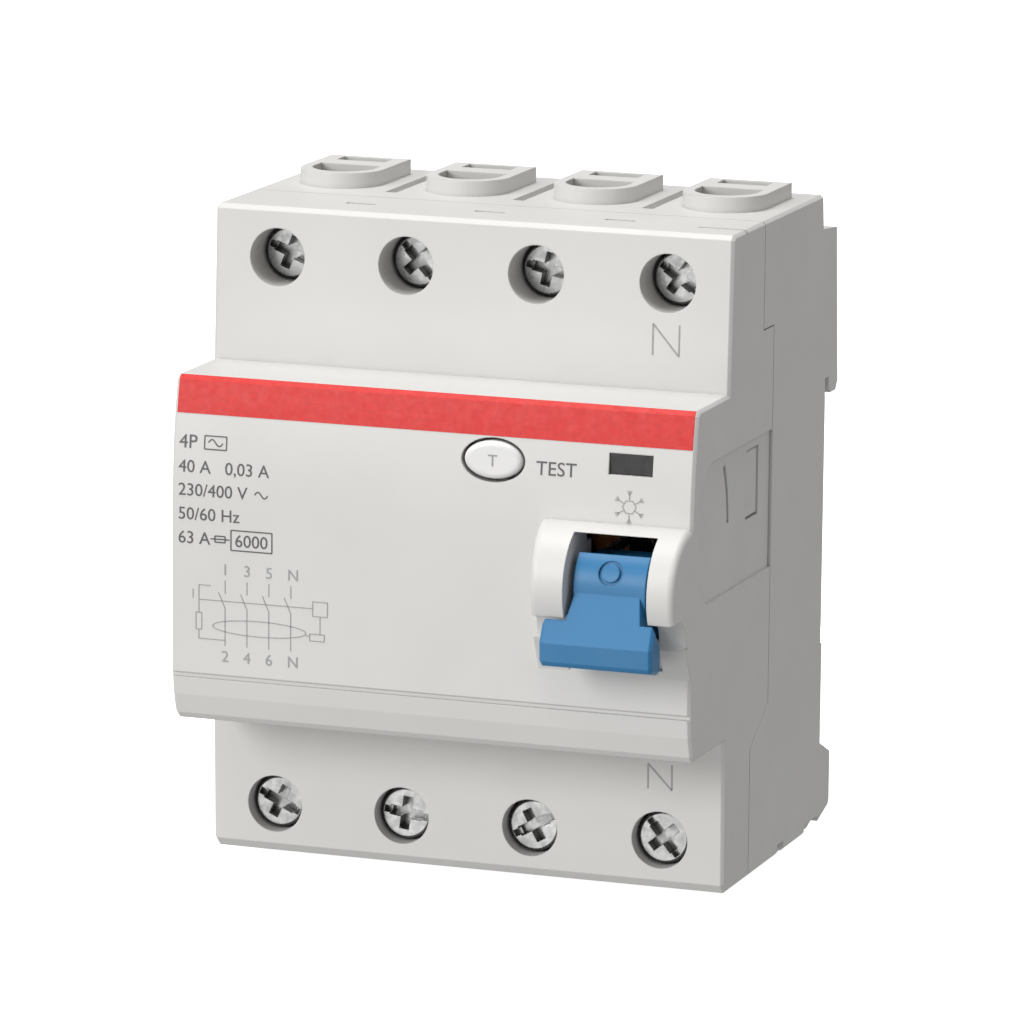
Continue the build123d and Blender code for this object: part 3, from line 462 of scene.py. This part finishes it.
def print_diagram():
    """A generic circuit diagram: four poles through one core, and a test branch."""
    bm = bmesh.new()
    thin = THIN_LINE
    for x, top, low in zip(POLE_X, ("1", "3", "5", "N"), ("2", "4", "6", "N")):
        add_text(bm, top, x - 0.5, -2.9, SMALL_SIZE)
        add_text(bm, low, x - 0.5, -14.2, SMALL_SIZE)
        add_stroke(bm, (x, -3.6), (x, -5.3), thin)
        add_stroke(bm, (x - 0.9, -5.2), (x, -7.2), thin)
        add_stroke(bm, (x, -7.2), (x, -12.1), thin)
    add_ring(bm, -22.9, -9.6, 6.4, 1.0, thin)
    add_stroke(bm, (-31.2, -6.3), (-15.6, -6.3), thin)
    add_box(bm, -15.6, -13.6, -7.3, -5.4, thin)
    add_stroke(bm, (-14.6, -7.3), (-14.6, -9.6), thin)
    add_box(bm, -16.0, -14.0, -10.5, -9.6, thin)
    add_stroke(bm, (-16.5, -9.9), (-16.0, -9.9), thin)
    add_stroke(bm, (-31.2, -4.4), (-31.2, -6.6), thin)
    add_stroke(bm, (-32.0, -5.0), (-32.0, -6.2), thin)
    add_stroke(bm, (-31.2, -6.6), (-31.2, -8.0), thin)
    add_box(bm, -31.6, -30.8, -10.2, -8.0, thin)
    add_stroke(bm, (-31.2, -10.2), (-31.2, -11.4), thin)
    add_stroke(bm, (-31.2, -11.4), (-27.6, -11.4), thin)
    add_stroke(bm, (-31.2, -4.4), (-29.6, -4.4), thin)
    finish_print("diagram_print", bm, FAINT_PRINT_AND_ENGRAVING_SHADE, "housing", COVER_SURFACE)


def around(centre, radius, turn):
    """The point at a distance and an angle in radians from a centre."""
    return (centre[0] + radius * math.cos(turn), centre[1] + radius * math.sin(turn))


def print_test_and_symbol():
    """TEST beside the button, T on it, and a snow crystal under the window."""
    bm = bmesh.new()
    add_text(bm, "TEST", *TEST_PLACE, TITLE_SIZE)
    finish_print("test_print", bm, MATERIALS["grey_print"], "housing",
                 COVER_SURFACE)

    bm = bmesh.new()
    for i in range(6):
        turn = math.radians(90 + 60 * i)
        root = around(SNOW_CENTRE, SNOW_HEX, turn)
        add_stroke(bm, root, around(SNOW_CENTRE, SNOW_TIP, turn), SYMBOL_LINE)
        fork = around(SNOW_CENTRE, SNOW_FORK, turn)
        for lean in (-BARB_LEAN, BARB_LEAN):
            add_stroke(bm, fork, around(fork, SNOW_BARB, turn + lean), SYMBOL_LINE)
    add_ring(bm, *SNOW_CENTRE, SNOW_HEX, SNOW_HEX, SYMBOL_LINE, 6)
    finish_print("snow_symbol", bm, FAINT_PRINT_AND_ENGRAVING_SHADE, "housing", COVER_SURFACE)

    bm = bmesh.new()
    middle = (BUTTON_LOW + BUTTON_HIGH) / 2 / MM
    add_text(bm, "T", middle.x, middle.z - BUTTON_LETTER / 2, BUTTON_LETTER, "CENTER")
    finish_print("button_letter", bm, FAINT_PRINT_AND_ENGRAVING_SHADE, "button", BUTTON_SURFACE)


def print_neutral_marks():
    """A thin N beside each neutral terminal, in grey strokes that paint the shade inside an
    engraved N.
    """
    bm = bmesh.new()
    for x0, z0, width, height in ((24.6, 26.8, 3.5, 4.0), (24.8, -29.3, 3.2, 3.3)):
        add_stroke(bm, (x0, z0), (x0, z0 + height), MARK_LINE)
        add_stroke(bm, (x0, z0 + height), (x0 + width, z0), MARK_LINE)
        add_stroke(bm, (x0 + width, z0), (x0 + width, z0 + height), MARK_LINE)
    finish_print("neutral_marks", bm, FAINT_PRINT_AND_ENGRAVING_SHADE, "housing", COVER_SURFACE)


def rim_of(grid):
    """A grid's outer vertices, in order round it."""
    right = [row[-1] for row in grid[1:]]
    left = [row[0] for row in grid[-2:0:-1]]
    return grid[0] + right + grid[-1][-2::-1] + left


def print_red_band():
    """Red band across the top of the nose, following its rounded edge."""
    left = -HALF_W + BAND_INSET * MM
    right = HALF_W - BAND_INSET * MM
    bm = bmesh.new()
    layers = []
    for lift in (0.0, INK_THICK):
        grid = []
        for z in BAND_LEVELS:
            row = []
            for i in range(BAND_COLUMNS + 1):
                x = left + (right - left) * i / BAND_COLUMNS
                row.append(bm.verts.new((x, lift, z * MM)))
            grid.append(row)
        layers.append(grid)
    for grid in layers:
        for low, high in zip(grid, grid[1:]):
            for i in range(BAND_COLUMNS):
                bm.faces.new((low[i], low[i + 1], high[i + 1], high[i]))
    inner, outer = (rim_of(grid) for grid in layers)
    for i in range(len(inner)):
        j = (i + 1) % len(inner)
        bm.faces.new((inner[i], inner[j], outer[j], outer[i]))
    finish_print("red_band", bm, MATERIALS["red_print"], "housing", COVER_SURFACE)


# ---- stage, in metres -----------------------------------------------------
FLOOR_GAP = 0.0002
FLOOR_FRONT_Y = -2.5
FLOOR_BEND_Y = 1.2
SWEEP_R = 0.8
SWEEP_STEPS = 12
BACKDROP_TOP = 2.5
FLOOR_HALF_W = 4.0
FLOOR_GLOW = 0.75
SKY_STRENGTH = 0.45


def make_stage():
    """Pale floor that sweeps up behind the object."""
    bm = bmesh.new()
    floor_z = cad_box[0][2] - FLOOR_GAP
    profile = [(FLOOR_FRONT_Y, floor_z), (FLOOR_BEND_Y, floor_z)]
    for i in range(1, SWEEP_STEPS + 1):
        turn = math.pi / 2 * i / SWEEP_STEPS
        profile.append((FLOOR_BEND_Y + SWEEP_R * math.sin(turn),
                        floor_z + SWEEP_R * (1 - math.cos(turn))))
    profile.append((FLOOR_BEND_Y + SWEEP_R, floor_z + BACKDROP_TOP))
    rows = [[bm.verts.new((x, y, z)) for x in (-FLOOR_HALF_W, FLOOR_HALF_W)]
            for y, z in profile]
    for low, high in zip(rows, rows[1:]):
        bm.faces.new((low[0], low[1], high[1], high[0]))
    mesh = bpy.data.meshes.new("floor")
    bm.to_mesh(mesh)
    bm.free()
    mesh.shade_smooth()
    material, tree, shader = new_material("pale_floor")
    shader.inputs["Base Color"].default_value = (0.90, 0.90, 0.90, 1.0)
    shader.inputs["Emission Color"].default_value = (1.0, 1.0, 1.0, 1.0)
    shader.inputs["Emission Strength"].default_value = FLOOR_GLOW
    tree.links.new(ramp(tree, noise(tree, 4.0), 0.75, 0.85), shader.inputs["Roughness"])
    mesh.materials.append(material)
    floor = bpy.data.objects.new("floor", mesh)
    bpy.context.scene.collection.objects.link(floor)
    # the floor only whitens the background: it neither lights nor shows in the object
    floor.visible_diffuse = False
    floor.visible_glossy = False
    floor.visible_transmission = False
    floor.visible_shadow = False


def add_light(name, place, size, watts, target=(0.0, -0.03, 0.0)):
    """Adds a round area light aimed at the target."""
    light = bpy.data.lights.new(name, "AREA")
    light.shape = "DISK"
    light.size = size
    light.energy = watts
    holder = bpy.data.objects.new(name, light)
    holder.location = place
    holder.rotation_mode = "QUATERNION"
    holder.rotation_quaternion = (Vector(target) - Vector(place)).to_track_quat("-Z", "Y")
    bpy.context.scene.collection.objects.link(holder)


def make_lights():
    """Soft studio light, mostly from the front left and above."""
    add_light("key", (-0.75, -1.25, 0.55), 0.7, 12.5)
    add_light("top", (-0.1, -0.1, 1.3), 0.8, 12.0)
    add_light("fill", (-0.35, -1.40, -0.30), 0.8, 2.8)
    world = bpy.data.worlds.new("studio")
    world.use_nodes = True
    sky = world.node_tree.nodes["Background"]
    sky.inputs["Color"].default_value = (1.0, 1.0, 1.0, 1.0)
    sky.inputs["Strength"].default_value = SKY_STRENGTH
    bpy.context.scene.world = world
    bpy.context.scene.view_settings.view_transform = "Standard"


make_camera()
dress_cad()
print_ratings()
print_diagram()
print_test_and_symbol()
print_neutral_marks()
print_red_band()
make_stage()
make_lights()
